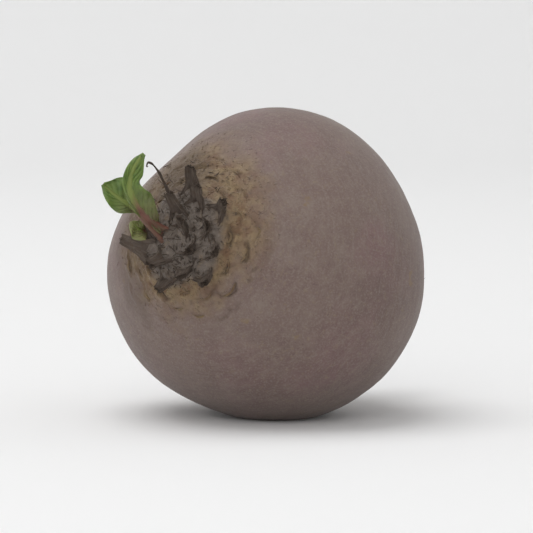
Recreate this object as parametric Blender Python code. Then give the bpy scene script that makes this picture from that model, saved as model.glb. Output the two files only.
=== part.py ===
"""A fresh beetroot with its leaves cut off, lying on its side.

The swollen root lies on a small flat spot, its crown towards -Y and tipped up, its tail towards +Y.
Dried leaf stalks and three young leaves stand on the crown, and each is a piece of its own.
The root's own frame has its middle at the origin, +Z along the crown's axis, +X to the right and +Y
up as seen from the crown's side. Azimuths run anticlockwise from +X, as seen from that side.
"""

import math

import bmesh
import bpy
from mathutils import Vector

# The root, in metres
BODY_WIDTH = 0.066  # across the widest girth
BODY_LENGTH = 0.062  # along the crown's axis, without the crown's rise and the tail
FLAT_SPOT_WIDTH = 0.018  # across the spot that the root lies on
CROWN_TILT = math.radians(15)  # how far the crown's axis points above the surface
CROWN_RADIUS = 0.0105  # of the raised top that carries the leaves
CROWN_RISE = 0.0022  # of that top above the shoulder
CROWN_EDGE = 6  # the power that sets how sharply the raised top falls to the shoulder
SHOULDER_DENT = 0.0031  # depth of the flattish place on the shoulder
SHOULDER_DENT_WIDTH = math.radians(24)
SHOULDER_DENT_AZIMUTH = math.radians(135)
SHOULDER_DENT_ANGLE = math.radians(60)  # from the crown's axis
TAIL_ANGLE = math.radians(152)  # from the crown's axis to where the body runs into the tail
TAIL_NECK_RADIUS = 0.0032
TAIL_NECK_LENGTH = 0.011  # from the body's run-out to the tail's neck
TAIL_LENGTH = 0.014  # from the neck to the broken tip
TAIL_TIP_RADIUS = 0.0013
TAIL_BEND = 0.0030  # how far the tip lies off the axis
TAIL_BEND_AZIMUTH = math.radians(70)
# The root isn't quite round: (lobes round the girth, height, turn)
LUMPS = ((2, 0.0006, 0.5), (3, 0.0005, 1.9), (5, 0.0002, 0.3))

# Pieces on the crown, in metres. Their feet stand in a spiral, each a golden angle on from the last
CLEARANCE = 0.0003  # between a piece and the skin under it
SPIRAL_ANGLE = math.radians(137.5)
SPIRAL_START = math.radians(47.5)
SPIRAL_SPACING = 0.00245  # a foot's distance from the axis is this times the root of its count
CUT_STALK_PLACES = (0, 2, 3, 4, 5, 7, 8, 10, 12, 13, 15, 16)
BROAD_LEAF_PLACE = 6
FOLDED_LEAF_PLACE = 1
SMALL_LEAF_PLACE = 14
FLAT_STALK_PLACE = 9
THIN_STALK_PLACE = 11
CUT_STALK_LENGTH = 0.0038
CUT_STALK_WIDTH = 0.0031
STALK_THICKNESS = 0.0015
LEAN_AT_HEART = math.radians(8)  # of a stalk away from the crown's axis
LEAN_AT_EDGE = math.radians(42)
BLADE_THICKNESS = 0.0006

# How finely the faceted solids follow their curves
GIRTH_SEGMENTS = 44
CROWN_RINGS = 9
BODY_RINGS = 17
NECK_RINGS = 6
TAIL_RINGS = 5
STALK_SIDES = 8
STALK_RINGS = 6
LEAF_RINGS = 14
BLADE_STEPS = (-1.0, -0.55, 0.0, 0.55, 1.0)  # across a leaf, in halves of its width

SKIN_COLOUR = (0.185, 0.140, 0.122, 1.0)
DRIED_COLOUR = (0.078, 0.061, 0.050, 1.0)
LEAF_COLOUR = (0.144, 0.200, 0.047, 1.0)


def material(name, colour, roughness):
    """A plain Principled material."""
    made = bpy.data.materials.new(name)
    made.use_nodes = True
    shader = made.node_tree.nodes["Principled BSDF"]
    shader.inputs["Base Color"].default_value = colour
    shader.inputs["Roughness"].default_value = roughness
    shader.inputs["Metallic"].default_value = 0.0
    return made


def smooth_step(share):
    """0 at 0, 1 at 1, with no kink at either end."""
    share = min(1.0, max(0.0, share))
    return share * share * (3 - 2 * share)


def on_axis(angle, azimuth):
    """The direction at that angle from the crown's axis, at that azimuth."""
    across = math.sin(angle)
    return Vector((across * math.cos(azimuth), across * math.sin(azimuth), math.cos(angle)))


def skin_distance(direction):
    """How far the skin lies from the root's middle, for a direction ahead of the tail."""
    angle = math.acos(max(-1.0, min(1.0, direction.z)))
    azimuth = math.atan2(direction.y, direction.x)
    across = math.sin(angle)
    distance = 1 / math.hypot(across / (BODY_WIDTH / 2), direction.z / (BODY_LENGTH / 2))
    crown_angle = math.asin(CROWN_RADIUS / (BODY_WIDTH / 2))
    distance += CROWN_RISE / (1 + (angle / crown_angle) ** CROWN_EDGE)
    away_from_tail = smooth_step((TAIL_ANGLE - angle) / (TAIL_ANGLE / 3))
    for lobes, height, turn in LUMPS:
        distance += height * across**2 * away_from_tail * math.cos(lobes * azimuth + turn)
    dent_at = on_axis(SHOULDER_DENT_ANGLE, SHOULDER_DENT_AZIMUTH)
    off_dent = direction.angle(dent_at) / SHOULDER_DENT_WIDTH
    return distance - SHOULDER_DENT * math.exp(-(off_dent**2))


def on_skin(point, above=0.0):
    """The point straight over the skin from this one, that far above it."""
    direction = point.normalized()
    return direction * (skin_distance(direction) + above)


def crown_seat(place):
    """The azimuth and reach of a place in the spiral, and its point one clearance above the skin."""
    azimuth = SPIRAL_START + place * SPIRAL_ANGLE
    reach = SPIRAL_SPACING * math.sqrt(place + 0.5)
    foot = Vector((reach * math.cos(azimuth), reach * math.sin(azimuth), BODY_LENGTH / 2))
    return azimuth, reach, on_skin(foot, CLEARANCE)


def bezier(points, share):
    """The point on the Bezier curve of these control points."""
    while len(points) > 1:
        points = [a.lerp(b, share) for a, b in zip(points, points[1:])]
    return points[0]


def neck_curve():
    """Control points, as (radius, 0, height), of the hollow curve from the body to the tail's neck."""
    step = math.radians(1)
    directions = (on_axis(TAIL_ANGLE - step, 0), on_axis(TAIL_ANGLE, 0))
    profile = [direction * skin_distance(direction) for direction in directions]
    run_out = (profile[1] - profile[0]).normalized()
    start = profile[1]
    neck = Vector((TAIL_NECK_RADIUS, 0, start.z - TAIL_NECK_LENGTH))
    handle = TAIL_NECK_LENGTH / 2
    return [start, start + run_out * handle, neck + Vector((0, 0, handle)), neck]


def body_ring(angle):
    """The skin's ring of points at that angle from the crown's axis."""
    turns = [2 * math.pi * k / GIRTH_SEGMENTS for k in range(GIRTH_SEGMENTS)]
    return [on_axis(angle, turn) * skin_distance(on_axis(angle, turn)) for turn in turns]


def round_ring(radius, centre):
    """A level ring of points about centre."""
    turns = [2 * math.pi * k / GIRTH_SEGMENTS for k in range(GIRTH_SEGMENTS)]
    return [centre + Vector((radius * math.cos(turn), radius * math.sin(turn), 0)) for turn in turns]


def root_rings():
    """Every ring of the root, from the crown to the broken tip of the tail."""
    crown_end = 2 * math.asin(CROWN_RADIUS / (BODY_WIDTH / 2))
    angles = [crown_end * (k + 1) / CROWN_RINGS for k in range(CROWN_RINGS)]
    angles += [crown_end + (TAIL_ANGLE - crown_end) * (k + 1) / BODY_RINGS for k in range(BODY_RINGS)]
    rings = [body_ring(angle) for angle in angles]
    curve = neck_curve()
    for k in range(NECK_RINGS):
        at = bezier(curve, (k + 1) / NECK_RINGS)
        rings.append(round_ring(at.x, Vector((0, 0, at.z))))
    bend = Vector((math.cos(TAIL_BEND_AZIMUTH), math.sin(TAIL_BEND_AZIMUTH), 0)) * TAIL_BEND
    for k in range(TAIL_RINGS):
        share = (k + 1) / TAIL_RINGS
        radius = TAIL_NECK_RADIUS + (TAIL_TIP_RADIUS - TAIL_NECK_RADIUS) * share**0.7
        down = Vector((0, 0, curve[-1].z - TAIL_LENGTH * share))
        rings.append(round_ring(radius, down + bend * share**2))
    return rings


def loft(name, rings, start, end, finish):
    """One closed body through rings of equal count, closed at each end by a fan to a point."""
    mesh = bpy.data.meshes.new(name)
    made = bmesh.new()
    rows = [[made.verts.new(point) for point in ring] for ring in rings]
    tips = (made.verts.new(start), made.verts.new(end))
    count = len(rings[0])
    for k in range(count):
        after = (k + 1) % count
        made.faces.new((tips[0], rows[0][k], rows[0][after]))
        made.faces.new((tips[1], rows[-1][after], rows[-1][k]))
        for upper, lower in zip(rows, rows[1:]):
            made.faces.new((upper[k], lower[k], lower[after], upper[after]))
    bmesh.ops.recalc_face_normals(made, faces=made.faces)
    made.to_mesh(mesh)
    made.free()
    mesh.shade_smooth()
    mesh.materials.append(finish)
    piece = bpy.data.objects.new(name, mesh)
    bpy.context.scene.collection.objects.link(piece)
    return piece


def centre_of(ring):
    return sum(ring, Vector()) / len(ring)


def section(centre, side, face, width, thickness):
    """An oval ring of points across a stalk: side is the way its width runs, face its thickness."""
    across, through = side * (width / 2), face * (thickness / 2)
    turns = [2 * math.pi * k / STALK_SIDES for k in range(STALK_SIDES)]
    return [centre + across * math.cos(turn) + through * math.sin(turn) for turn in turns]


def clear_of_skin(ring):
    """The ring with every point kept at least one clearance above the skin."""
    return [max(point, on_skin(point, CLEARANCE), key=lambda at: at.length) for point in ring]


def stalk(name, place, length, width, lean, curl, heading, tip_share, finish):
    """A dried leaf stalk. It leaves its place at lean from the crown's axis, towards the heading's
    azimuth, turns by curl on the way, and narrows to tip_share of its width."""
    outward = Vector((math.cos(heading), math.sin(heading), 0))
    axis = Vector((0, 0, 1))
    side = axis.cross(outward)
    centre = crown_seat(place)[2]
    rings = []
    for k in range(STALK_RINGS):
        share = k / (STALK_RINGS - 1)
        angle = lean + curl * share
        along = axis * math.cos(angle) + outward * math.sin(angle)
        narrowing = 1 + (tip_share - 1) * share**1.5
        ring = section(centre, side, side.cross(along), width * narrowing, STALK_THICKNESS * narrowing)
        rings.append(clear_of_skin(ring))
        centre = centre + along * (length / (STALK_RINGS - 1))
    rings[0] = [on_skin(point, CLEARANCE) for point in rings[0]]
    start = on_skin(centre_of(rings[0]), CLEARANCE)
    return loft(name, rings, start, centre_of(rings[-1]), finish)


def cut_stalks(finish):
    """The short stalks that were left when the leaves were cut off."""
    made = []
    for place in CUT_STALK_PLACES:
        azimuth, reach, _ = crown_seat(place)
        uneven = math.sin(2.4 * place)  # so that no two stalks are alike
        made.append(
            stalk(
                f"cut_stalk_{len(made) + 1:02d}",
                place,
                length=CUT_STALK_LENGTH * (1 + 0.25 * uneven),
                width=CUT_STALK_WIDTH * (1 - 0.12 * uneven),
                lean=LEAN_AT_HEART + (LEAN_AT_EDGE - LEAN_AT_HEART) * reach / CROWN_RADIUS,
                curl=math.radians(14 + 8 * uneven),
                heading=azimuth,
                tip_share=0.75,
                finish=finish,
            )
        )
    return made


def withered_stalks(finish):
    """Two stalks that dried up whole: a flat one over the left shoulder, a thin one that curls back."""
    flat = stalk(
        "withered_stalk_left",
        FLAT_STALK_PLACE,
        length=0.0066,
        width=0.0034,
        lean=math.radians(58),
        curl=math.radians(46),
        heading=math.radians(164),
        tip_share=0.50,
        finish=finish,
    )
    thin = stalk(
        "withered_stalk_top",
        THIN_STALK_PLACE,
        length=0.0106,
        width=0.0013,
        lean=math.radians(84),
        curl=math.radians(-115),
        heading=math.radians(115),
        tip_share=0.60,
        finish=finish,
    )
    return [flat, thin]


def leaf(name, place, path, upper_side, stem_share, stem_width, blade_width, fold, finish):
    """A young leaf in one piece: a stem that widens into a thin blade folded along its midrib.

    path holds the control points that follow the leaf's foot, counted from it, and upper_side the way
    the blade faces.
    """
    foot = crown_seat(place)[2]
    controls = [foot] + [foot + Vector(step) for step in path]
    stem_thickness = 0.75 * stem_width
    rings = []
    for k in range(LEAF_RINGS):
        share = k / LEAF_RINGS
        centre = bezier(controls, share)
        along = (bezier(controls, share + 0.02) - bezier(controls, share)).normalized()
        side = along.cross(Vector(upper_side)).normalized()
        face = side.cross(along)
        on_blade = max(0.0, (share - stem_share) / (1 - stem_share))
        swell = math.sin(math.pi * on_blade**0.75) ** 0.8 if on_blade else 0.0
        blending = smooth_step(on_blade * 4)
        half = (stem_width * (1 - 0.5 * on_blade) + (blade_width - stem_width) * swell) / 2
        thick = stem_thickness + (BLADE_THICKNESS - stem_thickness) * blending
        level = math.cos(fold * blending)
        rise = math.sin(fold * blending)
        ridge = [centre + side * (half * at * level) + face * (half * abs(at) * rise) for at in BLADE_STEPS]
        upper = [point + face * (thick / 2) for point in ridge[1:-1]]
        lower = [point - face * (thick / 2) for point in reversed(ridge[1:-1])]
        rings.append([ridge[0], *upper, ridge[-1], *lower])
    rings[0] = [on_skin(point, CLEARANCE) for point in rings[0]]
    rings[1:] = [clear_of_skin(ring) for ring in rings[1:]]
    start = on_skin(centre_of(rings[0]), CLEARANCE)
    return loft(name, rings, start, controls[-1], finish)


def young_leaves(finish):
    """The three leaves that have sprouted from the crown since it was cut."""
    broad = leaf(
        "young_leaf_left",
        BROAD_LEAF_PLACE,
        path=((-0.0021, 0.0012, 0.0032), (-0.0053, 0.0015, 0.0047), (-0.0086, 0.0051, 0.0089)),
        upper_side=(0.54, -0.13, 0.83),
        stem_share=0.34,
        stem_width=0.0016,
        blade_width=0.0094,
        fold=math.radians(14),
        finish=finish,
    )
    folded = leaf(
        "young_leaf_top",
        FOLDED_LEAF_PLACE,
        path=((-0.0026, 0.0022, 0.0048), (-0.0071, 0.0072, 0.0109), (-0.0019, 0.0148, 0.0088)),
        upper_side=(0.54, -0.13, 0.83),
        stem_share=0.36,
        stem_width=0.0017,
        blade_width=0.0070,
        fold=math.radians(30),
        finish=finish,
    )
    small = leaf(
        "young_leaf_small",
        SMALL_LEAF_PLACE,
        path=((0.0004, -0.0017, 0.0026), (-0.0006, 0.0007, 0.0046)),
        upper_side=(0.45, 0.15, 0.88),
        stem_share=0.18,
        stem_width=0.0012,
        blade_width=0.0030,
        fold=math.radians(12),
        finish=finish,
    )
    return [broad, folded, small]


def body_height():
    """The height of the root's middle above the surface, which leaves a flat spot of the asked width."""
    straight_down = on_axis(math.radians(90) + CROWN_TILT, math.radians(-90))
    return math.sqrt(skin_distance(straight_down) ** 2 - (FLAT_SPOT_WIDTH / 2) ** 2)


def cut_flat_spot(root):
    """Takes off what lies under the surface, which leaves the spot that the root rests on."""
    side = 2 * BODY_WIDTH
    block = bmesh.new()
    bmesh.ops.create_cube(block, size=side)
    mesh = bpy.data.meshes.new("surface_block")
    block.to_mesh(mesh)
    block.free()
    cutter = bpy.data.objects.new("surface_block", mesh)
    bpy.context.scene.collection.objects.link(cutter)
    cutter.location.z = -side / 2
    cutter.hide_render = True
    cutter.display_type = "WIRE"
    cut = root.modifiers.new("flat_spot", "BOOLEAN")
    cut.operation = "DIFFERENCE"
    cut.solver = "EXACT"
    cut.object = cutter


def main():
    for old in list(bpy.data.objects):
        bpy.data.objects.remove(old)
    skin = material("beetroot_skin", SKIN_COLOUR, 0.6)
    dried = material("dried_stalk", DRIED_COLOUR, 0.85)
    green = material("young_leaf", LEAF_COLOUR, 0.5)

    rings = root_rings()
    crown_top = on_skin(Vector((0, 0, 1)))
    root = loft("root", rings, crown_top, centre_of(rings[-1]), skin)
    pieces = [root, *cut_stalks(dried), *withered_stalks(dried), *young_leaves(green)]

    lie = bpy.data.objects.new("lie", None)
    bpy.context.scene.collection.objects.link(lie)
    lie.location.z = body_height()
    lie.rotation_euler.x = math.radians(90) - CROWN_TILT
    for piece in pieces:
        piece.parent = lie
    cut_flat_spot(root)


main()
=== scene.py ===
"""A fresh beetroot with its leaves cut off, lying on its side on a pale floor.

The root's skin, the dried stalks, the young leaves and the fine scales, flakes, fibres and root hairs
are made in the root's own frame: its middle at the origin, +Z along the crown's axis, +X to the right
and +Y up as seen from the crown's side. Then they are turned and lifted to where the beetroot lies.
"""

import math
from functools import partial

import bpy
import numpy as np
from mathutils import Matrix, Vector, noise


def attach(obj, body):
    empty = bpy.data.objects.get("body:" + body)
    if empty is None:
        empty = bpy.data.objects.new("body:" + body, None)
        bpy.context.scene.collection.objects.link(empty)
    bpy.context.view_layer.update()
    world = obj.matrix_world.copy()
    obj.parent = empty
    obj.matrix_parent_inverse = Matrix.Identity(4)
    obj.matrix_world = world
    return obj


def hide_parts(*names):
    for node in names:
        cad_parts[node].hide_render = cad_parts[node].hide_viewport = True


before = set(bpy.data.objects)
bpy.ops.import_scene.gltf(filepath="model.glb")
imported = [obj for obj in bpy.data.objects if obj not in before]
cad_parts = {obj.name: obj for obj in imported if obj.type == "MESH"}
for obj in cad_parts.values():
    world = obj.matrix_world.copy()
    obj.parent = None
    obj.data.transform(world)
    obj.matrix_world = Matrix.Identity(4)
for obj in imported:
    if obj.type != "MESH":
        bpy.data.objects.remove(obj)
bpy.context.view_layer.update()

bl_info = {
    "name": "Beetroot",
    "version": (1, 0, 0),
    "blender": (4, 5, 0),
    "location": "View3D > Sidebar > Beetroot",
    "description": "Builds a fresh beetroot and the stage that it lies on",
    "category": "Object",
}

MM = 0.001
FOOT_DEPTH = 0.9 * MM  # how far under the skin a stalk or a leaf's stem starts
TOWARDS_LIGHT = (0.54, -0.13, 0.83)  # where the young leaves' upper sides face
LIT = Vector((0, 0, 0.03))  # what the lamps point at

# Leaves grow in a spiral, this angle apart. A beetroot's places in it are counted from the crown's middle
GOLDEN_ANGLE = math.radians(137.5)
STALK_PLACES = (0, 2, 3, 4, 5, 7, 8, 10, 12, 13, 15, 16)
WITHERED_PLACES = {"withered_stalk_left": 9, "withered_stalk_top": 11}
LEAF_PLACES = {"young_leaf_left": 6, "young_leaf_top": 1, "young_leaf_small": 14}
SCAR_PLACES = range(17, 54)
FLAPS = 27  # how many of the scars, from the first, still carry a low flap


# ---- settings that a user would change


def linear(hex_value):
    """The linear colour of an sRGB hex value."""
    shares = [int(hex_value[k : k + 2], 16) / 255 for k in (1, 3, 5)]
    return tuple(s / 12.92 if s <= 0.04045 else ((s + 0.055) / 1.055) ** 2.4 for s in shares) + (1.0,)


def size(name, description, default):
    form = dict(min=0, precision=5, unit="LENGTH", subtype="DISTANCE")
    return bpy.props.FloatProperty(name=name, description=description, default=default, **form)


def turn(name, description, degrees):
    form = dict(default=math.radians(degrees), unit="ROTATION", subtype="ANGLE")
    return bpy.props.FloatProperty(name=name, description=description, **form)


def colour(name, description, hex_value):
    form = dict(default=linear(hex_value), size=4, min=0, max=1, subtype="COLOR")
    return bpy.props.FloatVectorProperty(name=name, description=description, **form)


class RootSizes(bpy.types.PropertyGroup):
    width: size("Width", "Across the widest girth", 0.066)
    length: size("Length", "Along the crown's axis, without the crown's rise and the tail", 0.062)
    flat_spot: size("Flat spot", "Across the spot that the root lies on", 0.018)
    tilt: turn("Crown tilt", "How far the crown's axis points above the surface", 15)
    crown_radius: size("Crown radius", "Of the raised top that carries the leaves", 0.0105)
    crown_rise: size("Crown rise", "Of that top above the shoulder", 0.0022)
    dent: size("Shoulder dent", "Depth of the flattish place on the shoulder", 0.0031)
    neck_radius: size("Tail neck radius", "Where the body has run out into the tail", 0.0032)
    neck_length: size("Tail neck length", "From the body's run-out to the tail's neck", 0.011)
    tail_length: size("Tail length", "From the neck to the broken tip", 0.014)
    tail_tip: size("Tail tip radius", "At the broken tip", 0.0013)
    tail_bend: size("Tail bend", "How far the tip lies off the axis", 0.0030)
    unevenness: size("Unevenness", "Depth of the broad dents in the skin", 0.00035)
    scar_depth: size("Scar depth", "Of the crescent scars that old leaves left round the crown", 0.00036)
    crust: size("Crust", "Height of the corky crust round the crown", 0.00032)


class CrownSizes(bpy.types.PropertyGroup):
    spacing: size("Leaf spacing", "A leaf's reach is this times the root of its count", 0.00245)
    start: turn("Spiral start", "Azimuth of the first leaf", 47.5)
    stalk_length: size("Stalk length", "Of a cut stalk", 0.0038)
    stalk_width: size("Stalk width", "Of a cut stalk", 0.0031)
    stalk_thickness: size("Stalk thickness", "Of a cut stalk", 0.0015)
    cork_radius: size("Cork radius", "How far the corky ring reaches from the axis", 0.0160)
    dark_radius: size("Dark radius", "How far the dark, dried crown reaches from the axis", 0.0094)
    flap_width: size("Flap width", "Of the low crescent flap that an old leaf left", 0.0034)


class LeafSizes(bpy.types.PropertyGroup):
    thickness: size("Blade thickness", "Of a young leaf's blade", 0.00030)
    ruffle: size("Ruffle", "Height of the waves along a blade's edge", 0.00075)
    pucker: size("Pucker", "Height of a blade's swellings between its veins", 0.00028)


class StageSizes(bpy.types.PropertyGroup):
    azimuth: turn("Camera azimuth", "Round the beetroot from straight in front of the crown", 33)
    elevation: turn("Camera elevation", "Above the level of the beetroot's middle", 5)
    lens: bpy.props.FloatProperty(name="Lens", description="Focal length", default=250, min=1, unit="CAMERA")
    field: size("Field", "Width of the view at the beetroot", 0.110)
    floor_radius: size("Floor radius", "Of the floor and the sweep round it", 1.5)


class Colours(bpy.types.PropertyGroup):
    skin: colour("Skin", "Purple-brown skin", "#6f5d57")
    skin_deep: colour("Deep skin", "Skin where it is rubbed clean", "#614e4a")
    skin_dust: colour("Dusty skin", "Skin under a film of dried soil", "#82756c")
    skin_pink: colour("Pink skin", "Skin where the red flesh shows through", "#745558")
    fleck: colour("Fleck", "Corky flecks", "#80705c")
    cork: colour("Cork", "The ring round the crown", "#7a654b")
    cork_light: colour("Light cork", "The ring's raised crust", "#8d7958")
    cork_rust: colour("Rusty cork", "The ring's rusty patches", "#654934")
    # Real dark cracks and dirt, and also the painted shade in the old scars' grooves
    cork_dark: colour("Dark cork", "The ring's cracks and scars", "#483829")
    crown: colour("Crown", "The dried top of the crown", "#675d55")
    crown_ash: colour("Crown ash", "Its weathered crests", "#7a7066")
    stalk: colour("Dried stalk", "Its outside", "#50463f")
    stalk_fibre: colour("Stalk fibre", "Its raised fibres", "#6c6158")
    stalk_end: colour("Stalk end", "Its dark, dried end", "#40362e")
    leaf: colour("Leaf", "A young blade's upper side", "#687d3c")
    leaf_deep: colour("Deep leaf", "A blade's hollows", "#4f6733")
    leaf_foot: colour("Leaf foot", "A blade where it narrows into its stem", "#655c41")
    # A lighter, muted olive for the small leaf: its own olive tone, and painted light that lifts it out of
    # the shade of the leaves above
    leaf_flush: colour("Leaf flush", "A blade that is still small and flushed with red", "#8a8359")
    leaf_vein: colour("Leaf vein", "Its midrib and veins", "#73803f")
    stem_red: colour("Stem", "A young leaf's stem", "#6d463b")
    stem_brown: colour("Stem edge", "The stem's withering edges", "#5f4d3c")
    floor: colour("Floor", "Matt pale floor", "#ececec")


# ---- the root's shape in its own frame

TAIL_ANGLE = math.radians(152)  # from the crown's axis to where the body runs out into the tail
TAIL_BEND_AZIMUTH = math.radians(70)
CROWN_EDGE = 6  # the power that sets how sharply the raised top falls to the shoulder
DENT_ANGLE, DENT_AZIMUTH, DENT_WIDTH = math.radians(60), math.radians(135), math.radians(24)
LUMPS = ((2, 0.0006, 0.5), (3, 0.0005, 1.9), (5, 0.0002, 0.3))  # lobes round the girth, height, turn
GIRTH_STEPS = 304
CROWN_STEPS, BODY_STEPS, NECK_STEPS, TAIL_STEPS = 130, 100, 30, 44


def smooth_step(share_of_way):
    clipped = np.clip(share_of_way, 0, 1)
    return clipped * clipped * (3 - 2 * clipped)


def bump(off, width):
    """A smooth bump, one high in its middle and about a third as high at the width."""
    return np.exp(-((off / width) ** 2))


def azimuths(sides):
    """The azimuths of that many points, evenly round a ring."""
    return np.arange(sides) * 2 * math.pi / sides


def unit(vectors):
    """The vectors made one long."""
    return vectors / np.maximum(np.linalg.norm(vectors, axis=-1, keepdims=True), 1e-12)


def direction(angle, azimuth):
    """Unit vectors at that angle from the crown's axis and that azimuth."""
    angle, azimuth = np.broadcast_arrays(angle, azimuth)
    across = np.sin(angle)
    return np.stack([across * np.cos(azimuth), across * np.sin(azimuth), np.cos(angle)], axis=-1)


def skin_distance(root, angle, azimuth):
    """How far the smooth skin lies from the root's middle."""
    across, level = np.sin(angle), np.cos(angle)
    distance = 1 / np.hypot(across / (root.width / 2), level / (root.length / 2))
    crown_angle = math.asin(root.crown_radius / (root.width / 2))
    distance = distance + root.crown_rise / (1 + (angle / crown_angle) ** CROWN_EDGE)
    away_from_tail = smooth_step((TAIL_ANGLE - angle) / (TAIL_ANGLE / 3))
    for lobes, height, offset in LUMPS:
        distance = distance + height * across**2 * away_from_tail * np.cos(lobes * azimuth + offset)
    off_dent = np.arccos(np.clip(direction(angle, azimuth) @ direction(DENT_ANGLE, DENT_AZIMUTH), -1, 1))
    return distance - root.dent * bump(off_dent, DENT_WIDTH)


def lying(root):
    """The matrix from the root's own frame to where it lies, at rest on its flat spot."""
    straight_down = skin_distance(root, math.radians(90) + root.tilt, math.radians(-90))
    height = math.sqrt(straight_down**2 - (root.flat_spot / 2) ** 2)
    return Matrix.Translation((0, 0, height)) @ Matrix.Rotation(math.radians(90) - root.tilt, 4, "X")


def seat(root, crown, place):
    """The azimuth, the reach from the axis and the skin's point of one place in the leaves' spiral."""
    azimuth = crown.start + place * GOLDEN_ANGLE
    reach = crown.spacing * math.sqrt(place + 0.5)
    point = np.array([reach * math.cos(azimuth), reach * math.sin(azimuth), root.length / 2])
    towards = point / np.linalg.norm(point)
    return azimuth, reach, towards * skin_distance(root, math.acos(towards[2]), azimuth)


def bezier(points, at):
    """The point on the Bezier curve of these control points."""
    points = [np.asarray(point, float) for point in points]
    while len(points) > 1:
        points = [a + (b - a) * at for a, b in zip(points, points[1:])]
    return points[0]


def skin_grid(root):
    """The smooth skin as rings of points, from the crown to the tail's tip."""
    crown_end = 2 * math.asin(root.crown_radius / (root.width / 2))
    crown = np.linspace(0, crown_end, CROWN_STEPS + 1)[1:]
    angles = np.append(crown, np.linspace(crown_end, TAIL_ANGLE, BODY_STEPS + 1)[1:])
    turns = azimuths(GIRTH_STEPS)
    angle, azimuth = np.meshgrid(angles, turns, indexing="ij")
    body = direction(angle, azimuth) * skin_distance(root, angle, azimuth)[..., None]

    last = body[-1, 0]
    run_out = (last - body[-2, 0]) / np.linalg.norm(last - body[-2, 0])
    neck_end = np.array([root.neck_radius, 0, last[2] - root.neck_length])
    handle = root.neck_length / 2
    curve = [last, last + run_out * handle, neck_end + (0, 0, handle), neck_end]
    circle = direction(math.pi / 2, turns)
    rings = []
    for k in range(NECK_STEPS):
        at = bezier(curve, (k + 1) / NECK_STEPS)
        rings.append(circle * at[0] + (0, 0, at[2]))
    bend = direction(math.pi / 2, TAIL_BEND_AZIMUTH) * root.tail_bend
    for k in range(TAIL_STEPS):
        at = (k + 1) / TAIL_STEPS
        radius = root.neck_radius + (root.tail_tip - root.neck_radius) * at**0.7
        rings.append(circle * radius + (0, 0, neck_end[2] - root.tail_length * at) + bend * at**2)
    return np.concatenate([body, np.array(rings)])


def outward(grid):
    """Unit normals of a grid of rings."""
    around = np.roll(grid, -1, axis=1) - np.roll(grid, 1, axis=1)
    return unit(np.cross(np.gradient(grid, axis=0), around))


def perlin(points, grain, seed):
    """Smooth noise from -1 to 1 whose bumps are about grain millimetres across."""
    flat = points.reshape(-1, 3) / (grain * MM) + seed * 17.3
    return np.array([noise.noise(Vector(p)) for p in flat]).reshape(points.shape[:-1])


def old_scars(root, crown, points):
    """Shares, 0 to 1, of the grooves and lips of the scars that the old leaves left in the spiral."""
    x, y, z = np.moveaxis(points, -1, 0)
    reach_of, azimuth_of = np.hypot(x, y), np.arctan2(y, x)
    groove, lip = np.zeros(x.shape), np.zeros(x.shape)
    ragged = perlin(points, 2.4, 3) * 0.9 * MM + perlin(points, 0.7, 4) * 0.3 * MM
    broken = smooth_step(0.75 + 1.6 * perlin(points, 1.7, 12))
    # No two scars are alike: each one's width, bow and plainness go up and down along the spiral
    for place in SCAR_PLACES:
        azimuth, reach, _ = seat(root, crown, place)
        off = (azimuth_of - azimuth + math.pi) % (2 * math.pi) - math.pi
        half = (2.5 + 0.9 * math.sin(2.1 * place)) * MM
        sideways = reach_of * off / half
        inwards = reach_of - reach + (0.7 + 0.5 * math.sin(3.7 * place)) * MM * sideways**2 + ragged
        ends = np.exp(-(sideways**4)) * (z > 0)
        fading = 1 - 0.6 * (place - SCAR_PLACES[0]) / len(SCAR_PLACES)
        plain = (0.7 + 0.3 * math.sin(5.3 * place)) * fading
        groove = np.maximum(groove, plain * broken * ends * bump(inwards, 0.38 * MM))
        lip = np.maximum(lip, plain * ends * bump(inwards - 0.8 * MM, 0.5 * MM))
    return groove, lip


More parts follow.
